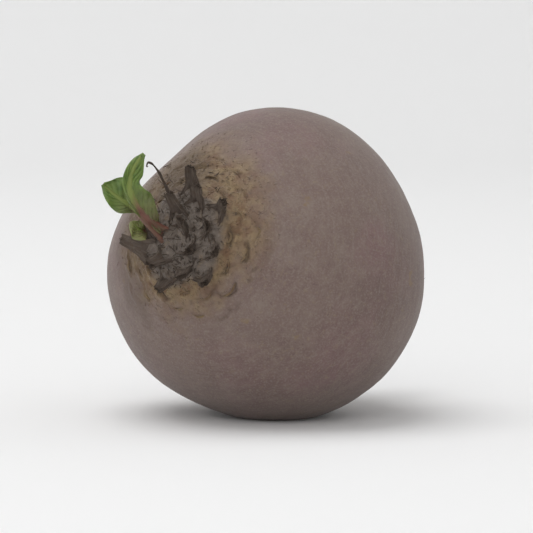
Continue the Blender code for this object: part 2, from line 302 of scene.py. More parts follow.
def skin_relief(root, crown, points):
    """The height of the real skin over the smooth one, and the shares that its material reads."""
    x, y, z = np.moveaxis(points, -1, 0)
    on_crown, azimuth_of = z > 0, np.arctan2(y, x)
    middles = (0, 0), (-2 * MM, 5 * MM), (-6 * MM, 13 * MM)
    reach, above, shoulder = (np.where(on_crown, np.hypot(x - a, y - b), 1.0) for a, b in middles)
    upper = np.hypot(x + 1 * MM, 0.92 * y - 2.5 * MM)
    wander = perlin(points, 5, 1) * 1.5 * MM + perlin(points, 1.8, 2) * 0.9 * MM

    def within(distance, edge, fade, wandering):
        """One inside an edge that wanders, fading to zero outside it."""
        return smooth_step((edge - distance + wandering * wander) / fade)

    cork = np.where(on_crown, within(upper, crown.cork_radius + 4 * MM, 8 * MM, 1.5), 0)
    dark = within(reach, crown.dark_radius + 1.2 * MM, 2.4 * MM, 1)
    dark = np.maximum(dark, 0.2 * within(above, 14 * MM, 6 * MM, 1.5))
    groove, lip = old_scars(root, crown, points)
    # The ring is rusty over the shoulder's flattish place and, more faintly, on its left
    leftwards = within(x, -7 * MM, 4 * MM, 1) * within(reach, 22 * MM, 3 * MM, 1)
    rusty = np.maximum(0.85 * within(shoulder, 9 * MM, 6 * MM, 1.5), 0.45 * leftwards)

    # Broad dents, fine grain, old scars, the cracked crust and the ring's folds
    height = root.unevenness * (perlin(points, 15, 5) + 0.3 * perlin(points, 6, 6))
    height += 0.025 * MM * perlin(points, 1.2, 7)
    height += root.scar_depth * (0.8 * lip - 1.3 * groove)
    crests = 1 - 1.4 * np.abs(perlin(points, 1.3, 8) + 0.5 * perlin(points, 0.62, 9))
    height += root.crust * cork * (crests - 0.5) * (0.35 + 0.65 * dark)
    folds = np.cos(azimuth_of * 46 + 6 * perlin(points, 7, 10))
    height += 0.05 * MM * folds * smooth_step((reach - 11 * MM) / (3 * MM)) * cork
    # The skin swells where a stalk or a stem grows out of it
    for place in (*STALK_PLACES, *LEAF_PLACES.values(), *WITHERED_PLACES.values()):
        off = np.linalg.norm(points - seat(root, crown, place)[2], axis=-1)
        height += 0.7 * MM * bump(off, 1.6 * MM)

    # The tail is creased across
    tail_start = root.length / 2 * math.cos(math.pi - TAIL_ANGLE)
    tail = smooth_step((-z - tail_start + 5 * MM) / (9 * MM))
    creases = np.sin(z / (0.55 * MM) + 3.5 * perlin(points, 4, 11))
    height += 0.08 * MM * tail * creases + 0.18 * MM * tail * perlin(points, 2.6, 13)
    # Side roots sprout from two shallow grooves that run up from the tail
    beside = np.abs(np.sin(azimuth_of - 0.4 - z * 18))
    low = smooth_step((-z - 12 * MM) / (16 * MM))
    height -= 0.30 * MM * low * bump(beside, 0.10)
    hairs = low**2 * bump(beside, 0.14) + 0.35 * tail
    # Fine lines run round the lower body
    lines = np.sin(z / (0.45 * MM) + 5 * perlin(points, 9, 14))
    height += 0.018 * MM * lines * (z < 5 * MM)
    # The scar mark darkens the scars' grooves, partly their own dark cork and partly painted shade, and the
    # rusty patches
    marks = {"cork": cork, "dark": dark, "scar": np.maximum(groove, rusty), "tail": tail, "hairs": hairs}
    return height, marks


# ---- meshes


class Shell:
    """Gathers rings of points into one closed mesh, with a UV map (round it, then along it) and marks."""

    def __init__(self, *marks):
        self.points, self.faces, self.uvs, self.slots, self.count = [], [], [], [], 0
        self.marks = {name: [] for name in marks}

    def put(self, points, marks):
        """Adds points with their marks, and gives their numbers."""
        points = np.asarray(points, float)
        self.points.append(points.reshape(-1, 3))
        for name, held in self.marks.items():
            held.append(np.broadcast_to(marks.get(name, 0.0), points.shape[:-1]).ravel())
        first = self.count
        self.count += len(self.points[-1])
        return np.arange(first, self.count).reshape(points.shape[:-1])

    def add(self, rings, ends, marks=None, slot=0, across=None):
        """Adds rings, closed at both ends by fans to the end points. A mark has a value for each point."""
        marks = marks or {}
        rows, columns = rings.shape[:2]
        index = self.put(rings, marks)
        u = np.append(np.arange(columns) / columns, 1.0) if across is None else np.append(across, across[0])
        v = np.arange(rows) / (rows - 1)
        for j in range(rows - 1):
            for k in range(columns):
                after = (k + 1) % columns
                self.faces.append((index[j, k], index[j + 1, k], index[j + 1, after], index[j, after]))
                self.uvs += [(u[k], v[j]), (u[k], v[j + 1]), (u[k + 1], v[j + 1]), (u[k + 1], v[j])]
                self.slots.append(slot)
        for row, end in zip((0, rows - 1), ends):
            held = {name: np.mean(values[row]) for name, values in marks.items() if np.ndim(values)}
            tip = int(self.put(end, held))
            order = slice(None, None, -1 if row else 1)
            for k in range(columns):
                self.faces.append((tip, index[row, k], index[row, (k + 1) % columns])[order])
                self.uvs += [((u[k] + u[k + 1]) / 2, v[row]), (u[k], v[row]), (u[k + 1], v[row])][order]
                self.slots.append(slot)

    def piece(self, name, materials):
        """The object of this mesh, in the frame that its points were given in."""
        mesh = bpy.data.meshes.new(name)
        mesh.from_pydata(np.concatenate(self.points).tolist(), [], [tuple(map(int, f)) for f in self.faces])
        for material in materials:
            mesh.materials.append(material)
        mesh.polygons.foreach_set("material_index", self.slots)
        mesh.uv_layers.new(name="UVMap").data.foreach_set("uv", np.array(self.uvs, np.float32).ravel())
        mesh.shade_smooth()
        made = in_scene(name, mesh)
        mark(made, **{label: np.concatenate(held) for label, held in self.marks.items()})
        return made


def in_scene(name, data):
    made = bpy.data.objects.new(name, data)
    bpy.context.scene.collection.objects.link(made)
    return made


def mark(piece, **shares):
    """Gives the piece's points these marks, each with one value for all or one for each point."""
    for name, share in shares.items():
        layer = piece.data.attributes.new(name, "FLOAT", "POINT")
        layer.data.foreach_set("value", np.full(len(piece.data.vertices), share, np.float32))


def settle(piece, slot, place, *nodes):
    """Brings a piece to its place from the root's own frame, hangs it on the root, and hides the parts it
    stands for.
    """
    piece.data.transform(place)
    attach(piece, "root")
    if nodes:
        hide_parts(*nodes)


# ---- nodes and materials


def add_node(tree, kind, sockets=(), output=0, **settings):
    """Adds a node with these settings, and values and links by name or in order, and gives one output."""
    made = tree.nodes.new(kind)
    for name, value in settings.items():
        setattr(made, name, value)
    offered = [s for s in made.inputs if s.enabled]
    if isinstance(sockets, dict):
        named = [next(s for s in offered if name in (s.identifier, s.name)) for name in sockets]
        offered, sockets = named, sockets.values()
    for socket, value in zip(offered, sockets):
        if isinstance(value, bpy.types.NodeSocket):
            tree.links.new(value, socket)
        else:
            socket.default_value = value
    given = [s for s in made.outputs if s.enabled]
    return given[output] if isinstance(output, int) and given else made.outputs.get(str(output))


def new_material(name):
    """An empty material, and the function that adds nodes to it."""
    material = bpy.data.materials.new(name)
    material.use_nodes = True
    material.node_tree.nodes.clear()
    return material, partial(add_node, material.node_tree)


def surfaced(material, add, sockets):
    """The material, finished with one surface that has these values and links."""
    add("ShaderNodeOutputMaterial", {"Surface": add("ShaderNodeBsdfPrincipled", sockets)})
    return material


def painted(add, ground, over, value, low, high, strength=1.0):
    """The ground colour under another, which gathers strength as the value goes from low to high."""
    sockets = {"Value": value, "From Min": low, "From Max": high, "To Max": strength}
    sockets = {"Factor": add("ShaderNodeMapRange", sockets), "A": ground, "B": over}
    return add("ShaderNodeMix", sockets, data_type="RGBA")


def mottled(add, where, ground, *layers):
    """The ground colour under layers of noise: grain across, detail, from, to, strength, colour."""
    for grain, detail, low, high, strength, over in layers:
        sockets = {"Vector": where, "Scale": 1 / grain, "Detail": detail, "Roughness": 0.6}
        pattern = add("ShaderNodeTexNoise", sockets)
        ground = painted(add, ground, over, pattern, low, high, strength)
    return ground


def beetroot_skin(colours, place):
    """Beetroot periderm: a thin, dry cork skin with a film of soil, grown, rubbed and never polished.

    It is dull all over, with fine grey-brown mottling, corky flecks, a tan corky ring round the crown
    that is cracked along the old leaves' scars, with painted shade in the scars' grooves,
    and a dark, dried top.
    """
    material, add = new_material("Beetroot skin")
    lain = add("ShaderNodeTexCoord", output="Object")
    sockets = {"Vector": lain, "Location": place.translation, "Rotation": place.to_euler()}
    own = add("ShaderNodeMapping", sockets, vector_type="TEXTURE")
    girthwise = add("ShaderNodeMapping", {"Vector": own, "Scale": (1, 1, 5)})

    # Patches 9 to 20 mm across, mottling 2 mm, corky flecks 1 mm, and grains of soil. The real grains are
    # too fine to show, so they are drawn 0.4 and 0.5 mm across
    skin = mottled(
        add, own, colours.skin,
        (20 * MM, 2, 0.40, 0.65, 0.6, colours.skin_deep),
        (9 * MM, 5, 0.45, 0.72, 0.5, colours.skin_dust),
        (18 * MM, 3, 0.50, 0.72, 0.6, colours.skin_pink),
        (2.2 * MM, 6, 0.48, 0.72, 0.45, colours.skin_dust),
        (1.1 * MM, 4, 0.52, 0.70, 0.40, colours.skin_deep),
        (0.9 * MM, 2, 0.60, 0.70, 0.50, colours.fleck),
        (0.4 * MM, 2, 0.48, 0.66, 0.60, colours.skin_dust),
        (0.5 * MM, 2, 0.62, 0.68, 0.55, colours.skin_deep),
    )
    # Transverse lines and lenticels, 2 to 5 mm long
    skin = mottled(
        add, girthwise, skin,
        (3.5 * MM, 6, 0.50, 0.68, 0.35, colours.skin_dust),
        (2.0 * MM, 2, 0.64, 0.70, 0.40, colours.fleck),
        (5.0 * MM, 6, 0.58, 0.72, 0.40, colours.skin_deep),
    )
    # A few corky scabs, 6 mm across
    skin = mottled(add, own, skin, (6 * MM, 6, 0.67, 0.72, 0.7, colours.cork))
    # The ring's crust, 2 mm across, its rusty patches, 3 mm, and its cracks, 1 mm
    cork = mottled(
        add, own, colours.cork,
        (2.0 * MM, 5, 0.45, 0.64, 0.8, colours.cork_light),
        (3.0 * MM, 5, 0.48, 0.62, 0.8, colours.cork_rust),
        (1.0 * MM, 4, 0.54, 0.66, 0.6, colours.cork_dark),
    )
    # The dried top's weathered crests, 1 mm across, between darker and corkier patches, 2 and 3 mm
    dried = mottled(
        add, own, colours.crown,
        (1.0 * MM, 4, 0.50, 0.68, 0.6, colours.crown_ash),
        (3.0 * MM, 3, 0.50, 0.68, 0.5, colours.cork_dark),
        (2.0 * MM, 3, 0.58, 0.70, 0.4, colours.cork),
    )
    for label, over, strength in (
        ("tail", colours.cork, 0.45),
        ("cork", cork, 1.0),
        # The scars' grooves: their dark cork, and painted shade in the grooves
        ("scar", colours.cork_dark, 0.9),
        ("dark", dried, 1.0),
    ):
        marked = add("ShaderNodeAttribute", output="Fac", attribute_name=label)
        skin = painted(add, skin, over, marked, 0, 1, strength)

    grains = add("ShaderNodeTexNoise", {"Vector": own, "Scale": 1 / (0.5 * MM), "Detail": 3})
    blotches = add("ShaderNodeTexNoise", {"Vector": own, "Scale": 1 / (2.2 * MM), "Detail": 5})
    fine = add("ShaderNodeBump", {"Height": grains, "Strength": 0.4, "Distance": 0.10 * MM})
    sockets = {"Height": blotches, "Strength": 0.5, "Distance": 0.20 * MM, "Normal": fine}
    uneven = add("ShaderNodeBump", sockets)
    sockets = {"Value": blotches, "From Min": 0.3, "From Max": 0.7, "To Min": 0.55, "To Max": 0.75}
    roughness = add("ShaderNodeMapRange", sockets)
    sockets = {"Base Color": skin, "Roughness": roughness, "Normal": uneven, "IOR": 1.42}
    sockets |= {"Specular IOR Level": 0.35, "Sheen Weight": 0.10, "Sheen Roughness": 0.6}
    return surfaced(material, add, sockets)


def dried_stalk(colours):
    """Dried leaf stalk: bundles of dead fibre, shrunk and weathered. Dull, dark and streaked lengthwise."""
    material, add = new_material("Dried stalk")
    # A cut stalk is about 8 mm round and 4 mm long, so fibres 0.4 mm across are a twentieth of its girth
    uv = add("ShaderNodeTexCoord", output="UV")
    lengthwise = add("ShaderNodeMapping", {"Vector": uv, "Scale": (20, 2, 1)})
    where = add("ShaderNodeTexCoord", output="Object")
    streaks = mottled(add, lengthwise, colours.stalk, (1.0, 4, 0.47, 0.70, 0.9, colours.stalk_fibre))
    dirty = mottled(add, where, streaks, (0.9 * MM, 3, 0.50, 0.70, 0.6, colours.cork_dark))
    tip = add("ShaderNodeAttribute", output="Fac", attribute_name="tip")
    ended = painted(add, dirty, colours.stalk_end, tip, 0, 1)
    fibres = add("ShaderNodeTexNoise", {"Vector": lengthwise, "Scale": 1.0, "Detail": 4})
    ridged = add("ShaderNodeBump", {"Height": fibres, "Strength": 0.7, "Distance": 0.15 * MM})
    sockets = {"Base Color": ended, "Normal": ridged, "Roughness": 0.85, "Specular IOR Level": 0.25}
    return surfaced(material, add, sockets)


def young_blade(colours):
    """Young beet leaf: thin living tissue with a waxy film. Green, with pale veins, and a soft shine."""
    material, add = new_material("Young leaf blade")
    uv = add("ShaderNodeUVMap", uv_map="UVMap")
    across = add("ShaderNodeSeparateXYZ", {"Vector": uv}, output="X")
    along = across.node.outputs["Y"]
    where = add("ShaderNodeTexCoord", output="Object")
    green = mottled(
        add, where, colours.leaf,
        (1.8 * MM, 4, 0.42, 0.62, 0.9, colours.leaf_deep),
        (0.6 * MM, 2, 0.5, 0.7, 0.35, colours.leaf_vein),
    )
    off_middle = add("ShaderNodeMath", [across, 0.5], operation="SUBTRACT")
    beside = add("ShaderNodeMath", [off_middle], operation="ABSOLUTE")
    # Side veins leave the midrib aslant, one to every eighth of the blade's length
    aslant = add("ShaderNodeMath", [beside, -6.0], operation="MULTIPLY")
    counted = add("ShaderNodeMath", [along, 8.0, aslant], operation="MULTIPLY_ADD")
    from_vein = add("ShaderNodeMath", [counted, 1.0], operation="PINGPONG")
    # The small leaf is painted lighter and more olive: its own tone, and painted light against the shade that
    # the leaves above cast on it
    flush = add("ShaderNodeAttribute", output="Fac", attribute_name="flush")
    for value, low, high, strength, over in (
        (along, 0.70, 0.15, 0.9, colours.leaf_foot),
        (from_vein, 0.16, 0.02, 0.5, colours.leaf_vein),
        (beside, 0.09, 0.02, 0.85, colours.leaf_vein),
        (flush, 0, 1, 1.0, colours.leaf_flush),
    ):
        green = painted(add, green, over, value, low, high, strength)
    cells = add("ShaderNodeTexNoise", {"Vector": where, "Scale": 1 / (0.9 * MM), "Detail": 3})
    puckered = add("ShaderNodeBump", {"Height": cells, "Strength": 0.4, "Distance": 0.2 * MM})
    sockets = {"Base Color": green, "Normal": puckered, "Roughness": 0.5, "Specular IOR Level": 0.35}
    sockets |= {"Subsurface Weight": 0.3, "Subsurface Radius": (0.3, 0.6, 0.15), "Subsurface Scale": MM}
    return surfaced(material, add, sockets)


def young_stem(colours):
    """Young beet leaf stem: crisp, ribbed, living tissue. Red and brown at the foot, green above."""
    material, add = new_material("Young leaf stem")
    uv = add("ShaderNodeUVMap", uv_map="UVMap")
    along = add("ShaderNodeSeparateXYZ", {"Vector": uv}, output="Y")
    # A stem is about 5 mm round, so ribs 0.5 mm across are a tenth of its girth
    lengthwise = add("ShaderNodeMapping", {"Vector": uv, "Scale": (9, 1.5, 1)})
    foot = mottled(add, lengthwise, colours.stem_red, (1.0, 3, 0.42, 0.60, 0.9, colours.stem_brown))
    ribs = add("ShaderNodeTexNoise", {"Vector": lengthwise, "Scale": 1.0, "Detail": 3})
    wandering = add("ShaderNodeMath", [ribs, 0.5, along], operation="MULTIPLY_ADD")
    streaked = painted(add, foot, colours.leaf_vein, wandering, 0.62, 0.86)
    ridged = add("ShaderNodeBump", {"Height": ribs, "Strength": 0.6, "Distance": 0.15 * MM})
    sockets = {"Base Color": streaked, "Normal": ridged, "Roughness": 0.5, "Specular IOR Level": 0.35}
    return surfaced(material, add, sockets)


def matt_floor(colours):
    """Matt painted board: dull and even, with nothing to draw the eye."""
    material, add = new_material("Matt painted floor")
    sockets = {"Base Color": colours.floor, "Roughness": 0.95, "Specular IOR Level": 0.1}
    return surfaced(material, add, sockets)


# ---- node trees for what repeats


def new_tree(name, **inputs):
    """A tree that takes geometry and these inputs, the function that adds its nodes, and what it is given."""
    tree = bpy.data.node_groups.new(name, "GeometryNodeTree")
    for label, kind in ({"Geometry": "Geometry"} | inputs).items():
        tree.interface.new_socket(label, in_out="INPUT", socket_type=f"NodeSocket{kind}")
    tree.interface.new_socket("Geometry", in_out="OUTPUT", socket_type="NodeSocketGeometry")
    return tree, partial(add_node, tree), tree.nodes.new("NodeGroupInput").outputs


def end_tree(add, sockets, given):
    """Sets the shape on its points, makes it real, frays it a little, and gives it its material."""
    instances = add("GeometryNodeInstanceOnPoints", sockets)
    real = add("GeometryNodeRealizeInstances", {"Geometry": instances})
    where = add("GeometryNodeInputPosition")
    rough = add("ShaderNodeTexNoise", {"Vector": where, "Scale": 1 / (0.7 * MM)}, output="Color")
    even = add("ShaderNodeVectorMath", [rough, (0.5, 0.5, 0.5)], operation="SUBTRACT")
    pull = add("ShaderNodeVectorMath", [even, given["Fray"]], operation="SCALE")
    frayed = add("GeometryNodeSetPosition", {"Geometry": real, "Offset": pull})
    smooth = add("GeometryNodeSetShadeSmooth", {"Geometry": frayed})
    sockets = {"Geometry": smooth, "Material": given["Material"]}
    add("NodeGroupOutput", {"Geometry": add("GeometryNodeSetMaterial", sockets)})


def scatter_tree(name, shape):
    """Copies of a shape strewn over the surface, as densely as a mark on the surface says."""
    inputs = dict(Mark="String", Density="Float", Smallest="Vector", Largest="Vector")
    tree, add, given = new_tree(name, **inputs, Lean="Float", Fray="Float", Seed="Int", Material="Material")
    marked = add("GeometryNodeInputNamedAttribute", {"Name": given["Mark"]}, data_type="FLOAT")
    density = add("ShaderNodeMath", [marked, given["Density"]], operation="MULTIPLY")
    sockets = {"Mesh": given["Geometry"], "Density": density, "Seed": given["Seed"]}
    points = add("GeometryNodeDistributePointsOnFaces", sockets)
    # Each copy is turned any way about the surface's normal, and leans either way
    sockets = {"Min": (-1, -1, -1), "Max": (1, 1, 1), "Seed": given["Seed"]}
    spun = add("FunctionNodeRandomValue", sockets, data_type="FLOAT_VECTOR")
    most = add("ShaderNodeCombineXYZ", {"X": given["Lean"], "Y": given["Lean"], "Z": math.pi})
    angles = add("ShaderNodeVectorMath", [spun, most], operation="MULTIPLY")
    leaning = add("FunctionNodeEulerToRotation", {"Euler": angles})
    sockets = {"Rotation": points.node.outputs["Rotation"], "Rotate By": leaning}
    rotation = add("FunctionNodeRotateRotation", sockets, rotation_space="LOCAL")
    sockets = {"Min": given["Smallest"], "Max": given["Largest"], "Seed": given["Seed"]}
    sizes = add("FunctionNodeRandomValue", sockets, data_type="FLOAT_VECTOR")
    sockets = {"Points": points, "Instance": shape(add), "Rotation": rotation, "Scale": sizes}
    end_tree(add, sockets, given)
    return tree


def flake(add):
    """A round grain, one across, which the scatter's sizes flatten into a flake."""
    return add("GeometryNodeMeshIcoSphere", {"Radius": 0.5, "Subdivisions": 1})


def hair(add):
    """A tapering, bent hair, one long."""
    sockets = {"Resolution": 4, "Start": (0, 0, -0.12), "Middle": (0, 0, 0.5), "End": (0.45, 0, 0.95)}
    spine = add("GeometryNodeCurveQuadraticBezier", sockets)
    along = add("GeometryNodeSplineParameter")
    taper = add("ShaderNodeMapRange", {"Value": along, "To Min": 1.0, "To Max": 0.2})
    tapered = add("GeometryNodeSetCurveRadius", {"Curve": spine, "Radius": taper})
    section = add("GeometryNodeCurvePrimitiveCircle", {"Resolution": 3, "Radius": 0.5})
    return add("GeometryNodeCurveToMesh", {"Curve": tapered, "Profile Curve": section, "Fill Caps": True})


def spiral_tree():
    """Low crescent flaps, set in the leaves' spiral and dropped on to the surface under them."""
    inputs = dict(Count="Int", First="Int", Spacing="Float", Start="Float", Turn="Float", Width="Float")
    tree, add, given = new_tree("Flaps in a spiral", **inputs, Fray="Float", Material="Material")
    index = add("GeometryNodeInputIndex")
    place = add("ShaderNodeMath", [index, given["First"]], operation="ADD")
    azimuth = add("ShaderNodeMath", [place, given["Turn"], given["Start"]], operation="MULTIPLY_ADD")
    counted = add("ShaderNodeMath", [place, 0.5], operation="ADD")
    rooted = add("ShaderNodeMath", [counted], operation="SQRT")
    reach = add("ShaderNodeMath", [rooted, given["Spacing"]], operation="MULTIPLY")
    # A ray from well above each place finds the skin under it
    outer = add("ShaderNodeCombineXYZ", {"X": reach, "Z": 0.08})
    rotation = add("ShaderNodeCombineXYZ", {"Z": azimuth})
    sockets = {"Vector": outer, "Rotation": rotation}
    above = add("ShaderNodeVectorRotate", sockets, rotation_type="EULER_XYZ")
    sockets = {"Target Geometry": given["Geometry"], "Source Position": above, "Ray Direction": (0, 0, -1)}
    landing = add("GeometryNodeRaycast", sockets, output="Hit Position")
    points = add("GeometryNodePoints", {"Count": given["Count"], "Position": landing})
    upright = add("FunctionNodeEulerToRotation", {"Euler": rotation})
    sockets = {"Rotation": upright, "Vector": landing.node.outputs["Hit Normal"]}
    rotation = add("FunctionNodeAlignRotationToVector", sockets, axis="Z")

    ball = add("GeometryNodeMeshUVSphere", {"Segments": 16, "Rings": 8, "Radius": 0.5})
    where = add("GeometryNodeInputPosition")
    sideways = add("ShaderNodeSeparateXYZ", {"Vector": where}, output="Y")
    squared = add("ShaderNodeMath", [sideways, sideways], operation="MULTIPLY")
    bow = add("ShaderNodeMath", [squared, -5.0], operation="MULTIPLY")
    bowed = add("ShaderNodeCombineXYZ", {"X": bow})
    crescent = add("GeometryNodeSetPosition", {"Geometry": ball, "Offset": bowed})
    sockets = {"Min": (0.08, 0.5, 0.05), "Max": (0.17, 1.2, 0.17), "Seed": 5}
    shares = add("FunctionNodeRandomValue", sockets, data_type="FLOAT_VECTOR")
    sizes = add("ShaderNodeVectorMath", {"Vector": shares, "Scale": given["Width"]}, operation="SCALE")
    sockets = {"Points": points, "Instance": crescent, "Rotation": rotation, "Scale": sizes}
    end_tree(add, sockets, given)
    return tree


def grown(name, tree, surface, **inputs):
    """The plain mesh object that the tree grows on a piece's surface."""
    carrier = in_scene("carrier", surface.data.copy())
    modifier = carrier.modifiers.new(name, "NODES")
    modifier.node_group = tree
    for socket in tree.interface.items_tree:
        if socket.in_out == "INPUT" and socket.name in inputs:
            modifier[socket.identifier] = inputs[socket.name]
    carrier.update_tag()
    evaluated = carrier.evaluated_get(bpy.context.evaluated_depsgraph_get())
    mesh = bpy.data.meshes.new_from_object(evaluated)
    if not mesh.polygons:
        raise RuntimeError(f"{name}: nothing grew")
    carrier.modifiers.remove(modifier)
    bpy.data.objects.remove(carrier)
    mesh.name = name
    return in_scene(name, mesh)


def strewn(surface, name, shape, label, density, least, most, lean, fray, seed, material):
    """Small shapes, so many to a square metre where the surface has the mark. Sizes are in millimetres."""
    least, most = (tuple(side * MM for side in sides) for sides in (least, most))
    inputs = dict(Mark=label, Density=density, Smallest=least, Largest=most, Lean=lean, Fray=fray * MM)
    return grown(name, scatter_tree(name, shape), surface, **inputs, Seed=seed, Material=material)


# ---- pieces


def stalk_rings(foot, sizes, angles, tip_share, seed, rings=28, late=1):
    """The ribbed, shrunken sides and sunken ragged end of a dried stalk, its marks and its two end points.

    Its sizes are its length, width and thickness, and its angles its lean, its curl and its heading. The
    higher the power late is, the nearer to its end it curls.
    """
    (length, width, thickness), (lean, curl, heading), sides = sizes, angles, 40
    axis = np.array([0, 0, 1.0])
    outwards = np.array([math.cos(heading), math.sin(heading), 0])
    side = np.cross(axis, outwards)
    turns = azimuths(sides)
    centre = foot - axis * FOOT_DEPTH
    step = (length + FOOT_DEPTH) / (rings - 1)
    grid = []
    for k in range(rings):
        at = k / (rings - 1)
        bent = lean + curl * at**late
        along = axis * math.cos(bent) + outwards * math.sin(bent)
        face = np.cross(side, along)
        foot_flare = bump(at, 0.25)
        narrowing = 1 + (tip_share - 1) * at**1.5
        furrows = 1 + 0.10 * np.cos(7 * turns + 1.5 * math.sin(3 * at + seed))
        x = np.cos(turns) * width / 2 * narrowing * (1 + 0.7 * foot_flare) * furrows
        y = np.sin(turns) * thickness / 2 * narrowing * (1 + 0.4 * foot_flare) * furrows
        hollow = 0.45 * thickness * narrowing * (x / (width / 2)) ** 2
        ring = centre + np.outer(x, side) + np.outer(y - hollow, face)
        grid.append(ring + perlin(ring, 0.8, seed)[:, None] * along * 1.1 * MM * at**3)
        centre = centre + along * step
    grid = np.array(grid)
    grid = grid + perlin(grid, 1.4, seed + 5)[..., None] * outward(grid) * 0.18 * MM
    end = grid[-1].mean(axis=0)
    sunk = [end + (grid[-1] - end) * inner - along * 0.4 * MM * (1 - inner) for inner in (0.8, 0.5, 0.2)]
    # Only the end is cut and frays, but the side darkens towards it
    cut, tip = np.zeros((rings + len(sunk), sides)), np.ones((rings + len(sunk), sides))
    cut[rings:] = 1
    tip[:rings] = 0.8 * np.linspace(0, 1, rings)[:, None] ** 5
    ends = grid[0].mean(axis=0), end - along * 0.45 * MM
    return np.concatenate([grid, sunk]), {"cut": cut, "tip": tip}, ends


def half_width(pairs, at):
    """A blade's half width from (share of the way, millimetres) pairs, with its corners rounded."""
    places, widths = zip(*pairs)
    return MM * np.interp(np.asarray(at)[:, None] + np.linspace(-0.04, 0.04, 9), places, widths).mean(axis=1)


class BEETROOT_OT_root(bpy.types.Operator):
    """Makes the swollen root with its crown, its skin and its tail"""

    bl_idname = "beetroot.root"
    bl_label = "Root"

    def execute(self, context):
        root, crown = context.scene.beetroot_root, context.scene.beetroot_crown
        place = lying(root)
        smooth = skin_grid(root)
        height, marks = skin_relief(root, crown, smooth)
        grid = smooth + outward(smooth) * height[..., None]
        shell = Shell(*marks)
        tip = grid[-1].mean(axis=0) - (0, 0, 0.3 * MM)
        shell.add(grid, (grid[0].mean(axis=0), tip), marks)
        piece = shell.piece("beetroot_root", [beetroot_skin(context.scene.beetroot_colours, place)])
        self.scatter(context, piece, place)
        settle(piece, "beetroot_skin", place, "root")
        for vertex in piece.data.vertices:  # the weight has pressed the flat spot level
            vertex.co.z = 0.5 * (vertex.co.z + math.hypot(vertex.co.z, 0.15 * MM))
        return {"FINISHED"}

    def scatter(self, context, piece, place):
        """The flaps, flakes and fibres of the crown and the hairs of the tail."""
        crown = context.scene.beetroot_crown
        skin, dead = piece.data.materials[0], dried_stalk(context.scene.beetroot_colours)
        inputs = dict(Count=FLAPS, First=SCAR_PLACES[0], Spacing=crown.spacing, Start=crown.start)
        inputs |= dict(Turn=GOLDEN_ANGLE, Width=crown.flap_width, Fray=0.6 * MM, Material=skin)
        flaps = grown("leaf_scar_flaps", spiral_tree(), piece, **inputs)
        mark(flaps, cork=1, scar=0.35)
        settle(flaps, "beetroot_skin", place)
        # Name, shape, mark, how many to a square metre, least and most sides, lean, fray, seed and material
        for row in (
            ("corky_scurf", flake, "cork", 2.2e6, (0.25, 0.15, 0.05), (0.9, 0.5, 0.14), 0.35, 0.15, 3, skin),
            ("crown_fibres", hair, "dark", 0.9e6, (0.10, 0.10, 0.4), (0.24, 0.24, 1.5), 1.1, 0.2, 7, dead),
            ("root_hairs", hair, "hairs", 0.28e6, (0.08, 0.08, 0.8), (0.20, 0.20, 3.2), 1.0, 0.3, 11, skin),
        ):
            settle(strewn(piece, *row), "dried_stalk" if row[-1] is dead else "beetroot_skin", place)


class BEETROOT_OT_stalks(bpy.types.Operator):
    """Makes the dried stalks: the short cut ones and the two withered ones"""

    bl_idname = "beetroot.stalks"
    bl_label = "Dried stalks"

    def execute(self, context):
        root, crown = context.scene.beetroot_root, context.scene.beetroot_crown
        place = lying(root)
        material = dried_stalk(context.scene.beetroot_colours)
        made = {}
        for number, at in enumerate(STALK_PLACES, 1):
            azimuth, reach, foot = seat(root, crown, at)
            uneven = math.sin(2.4 * at)
            length, width = crown.stalk_length * (1 + 0.25 * uneven), crown.stalk_width * (1 - 0.12 * uneven)
            lean, curl = math.radians(8 + 34 * reach / root.crown_radius), math.radians(14 + 8 * uneven)
            sizes, angles = (length, width, crown.stalk_thickness), (lean, curl, azimuth)
            made[f"cut_stalk_{number:02d}"] = stalk_rings(foot, sizes, angles, 0.75, number)
        # The withered ones' sizes are in millimetres here, and their angles in degrees
        for node, sizes, angles, *rest in (
            ("withered_stalk_left", (6.6, 3.1, 1.6), (58, 46, 164), 0.62, 31, 44),
            ("withered_stalk_top", (10.9, 0.5, 0.4), (60, -140, 112), 0.60, 37, 80, 4),
        ):
            foot = seat(root, crown, WITHERED_PLACES[node])[2]
            made[node] = stalk_rings(foot, np.array(sizes) * MM, np.radians(angles), *rest)
        cut_ends = Shell("cut", "tip")
        for node, (rings, marks, ends) in made.items():
            shell = Shell("cut", "tip")
            shell.add(rings, ends, marks)
            cut_ends.add(rings, ends, marks)
            settle(shell.piece(f"{node}_dried", [material]), "dried_stalk", place, node)
        surface = cut_ends.piece("cut_ends", [])
        least, most = (0.12, 0.12, 0.3), (0.30, 0.30, 0.8)
        frayed = strewn(surface, "frayed_fibres", hair, "cut", 3.5e6, least, most, 0.5, 0.15, 19, material)
        bpy.data.objects.remove(surface)
        settle(frayed, "dried_stalk", place)
        return {"FINISHED"}


